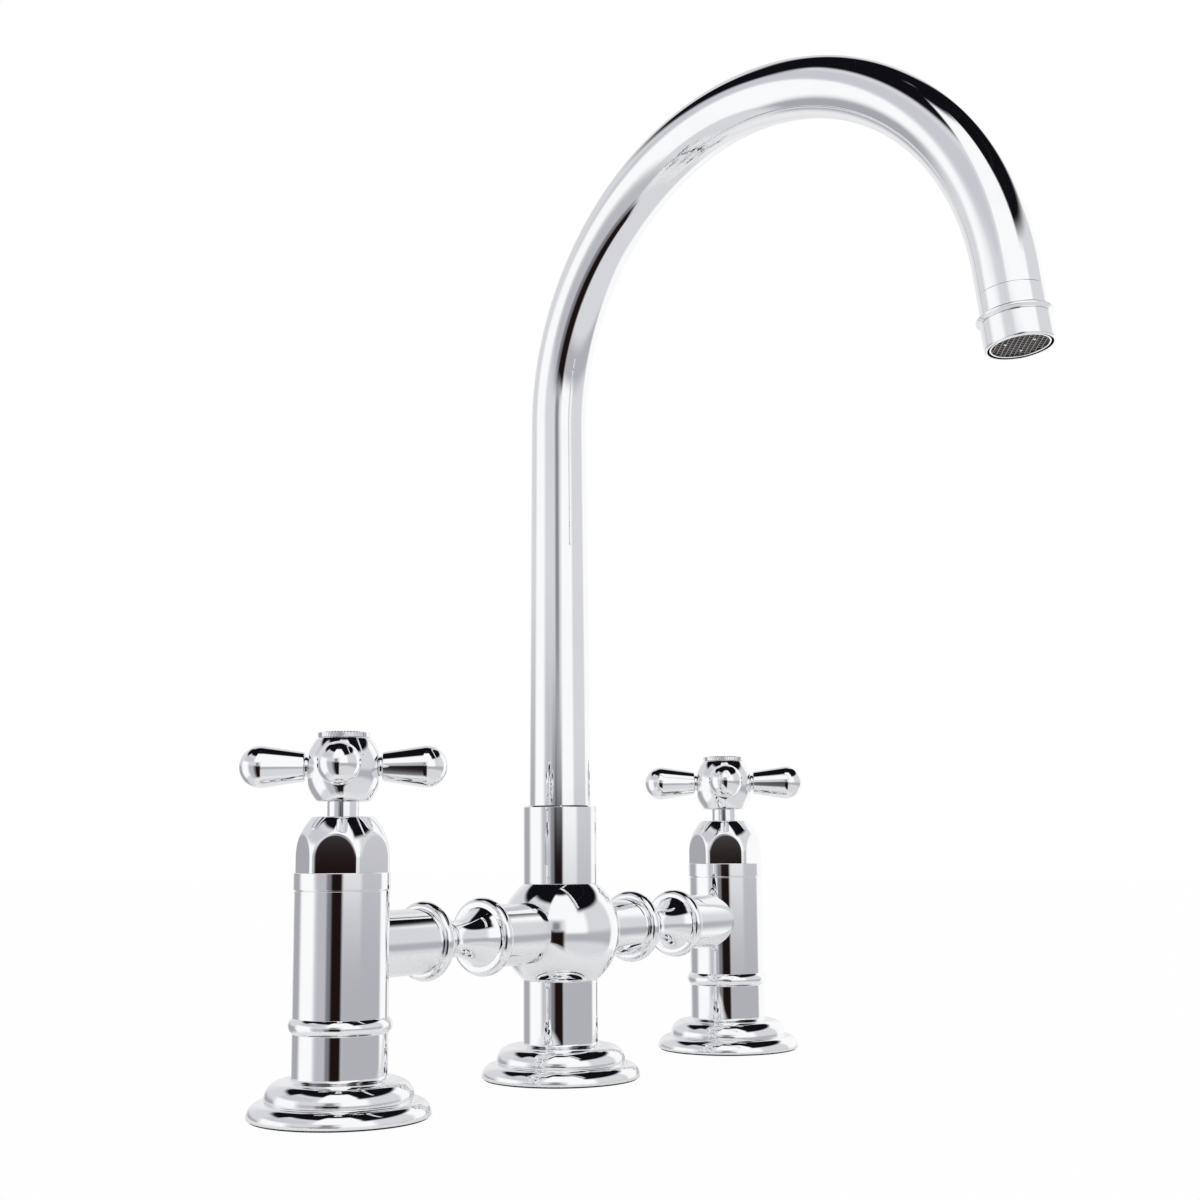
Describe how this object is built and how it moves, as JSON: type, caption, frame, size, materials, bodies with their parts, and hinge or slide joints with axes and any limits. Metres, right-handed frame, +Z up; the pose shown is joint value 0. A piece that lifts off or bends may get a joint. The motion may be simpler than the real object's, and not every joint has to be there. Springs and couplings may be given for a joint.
{
  "type": "bridge kitchen faucet",
  "caption": "Deck-mounted chrome bridge faucet: cross-handled hot and cold pillars joined by a tube to a centre ball and leg that carry a tall swan-neck swivel spout.",
  "frame": {"origin": "on top of the deck, on the axis of the centre leg", "axes": "+Z up out of the deck, X along the bridge with the hot leg at -X and the cold leg at +X, the user and the sink on the -Y side"},
  "size_m": [0.2552, 0.2168, 0.3764],
  "materials": {
    "chrome": "polished chrome plating over brass",
    "brass": "turned and milled, unplated",
    "steel": "plain turned or pressed steel",
    "rubber": "matt black rubber",
    "ceramic": null,
    "white_plastic": "natural moulded plastic",
    "button_metal": "satin plate face with a knurled edge",
    "mesh_metal": "fine woven steel mesh"
  },
  "bodies": {
    "faucet_body": {"hot_valve_body": "chrome", "hot_flange": "chrome", "hot_gasket": "rubber", "hot_shank": "brass", "hot_washer": "steel", "hot_lock_nut": "brass", "hot_bonnet": "chrome", "hot_cartridge": "brass", "hot_fixed_disc": "ceramic", "hot_seat_seal": "rubber", "hot_spindle_seal": "rubber", "hot_bridge_arm": "chrome", "hot_arm_seals": "rubber", "cold_valve_body": "chrome", "cold_flange": "chrome", "cold_gasket": "rubber", "cold_shank": "brass", "cold_washer": "steel", "cold_lock_nut": "brass", "cold_bonnet": "chrome", "cold_cartridge": "brass", "cold_fixed_disc": "ceramic", "cold_seat_seal": "rubber", "cold_spindle_seal": "rubber", "cold_bridge_arm": "chrome", "cold_arm_seals": "rubber", "bridge_ball": "chrome", "centre_column": "chrome", "centre_flange": "chrome", "centre_gasket": "rubber", "centre_stud": "steel", "centre_washer": "steel", "centre_nut": "brass", "spout_collar": "chrome", "spout_bush": "white_plastic", "spout_glide_ring": "white_plastic"},
    "hot_handle": {"hot_spindle": "brass", "hot_moving_disc": "ceramic", "hot_stem_sleeve": "chrome", "hot_handle_hub": "chrome", "hot_handle_arms": "chrome", "hot_handle_screw": "steel", "hot_button": "button_metal"},
    "cold_handle": {"cold_spindle": "brass", "cold_moving_disc": "ceramic", "cold_stem_sleeve": "chrome", "cold_handle_hub": "chrome", "cold_handle_arms": "chrome", "cold_handle_screw": "steel", "cold_button": "button_metal"},
    "spout": {"spout_spigot": "brass", "spout_seals": "rubber", "spout_tube": "chrome", "outlet_sleeve": "chrome", "aerator_washer": "rubber", "aerator_housing": "chrome", "aerator_insert": "white_plastic", "aerator_mesh": "mesh_metal"}
  },
  "joints": [
    {"name": "hot_handle_turn", "type": "hinge", "parent": "faucet_body", "child": "hot_handle", "pos_m": [-0.1016, 0, 0.0986], "axis": [0, 0, 1], "range_deg": [0, 90]},
    {"name": "cold_handle_turn", "type": "hinge", "parent": "faucet_body", "child": "cold_handle", "pos_m": [0.1016, 0, 0.0986], "axis": [0, 0, 1], "range_deg": [-90, 0]},
    {"name": "spout_swivel", "type": "hinge", "parent": "faucet_body", "child": "spout", "pos_m": [0, 0, 0.075], "axis": [0, 0, 1], "continuous": true}
  ]
}
